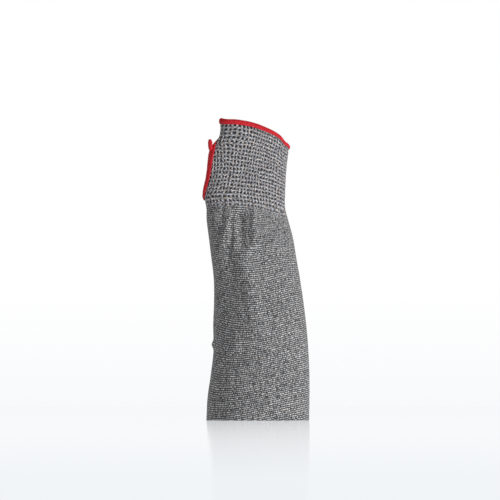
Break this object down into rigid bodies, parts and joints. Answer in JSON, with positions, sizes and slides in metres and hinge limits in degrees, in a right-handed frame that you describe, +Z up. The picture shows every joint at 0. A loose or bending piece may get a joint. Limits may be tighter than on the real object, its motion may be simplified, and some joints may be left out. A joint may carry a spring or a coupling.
{
  "type": "cut resistant sleeve",
  "caption": "Knitted forearm sleeve with a coarse hand cuff, an open finger end and a bound thumb hole.",
  "frame": {"origin": "centre of the hem opening, on the plane of the hem", "axes": "+Z up the arm from the hem to the fingers, +X to the right as seen from the back of the hand, -Y towards the viewer of the back of the hand; the thumb hole faces -X"},
  "size_m": [0.1258, 0.096, 0.3554],
  "materials": {
    "marl_knit_fine": "fine jersey knit of salt and pepper marl yarn, matte",
    "marl_knit_coarse": "coarse waffle knit of salt and pepper marl yarn, matte",
    "red_overlock_thread": "red overlocked edge thread, matte"
  },
  "bodies": {
    "root": {"forearm_tube": "marl_knit_fine", "hand_cuff": "marl_knit_coarse", "finger_edge_binding": "red_overlock_thread", "thumb_hole_binding": "red_overlock_thread"}
  },
  "joints": []
}
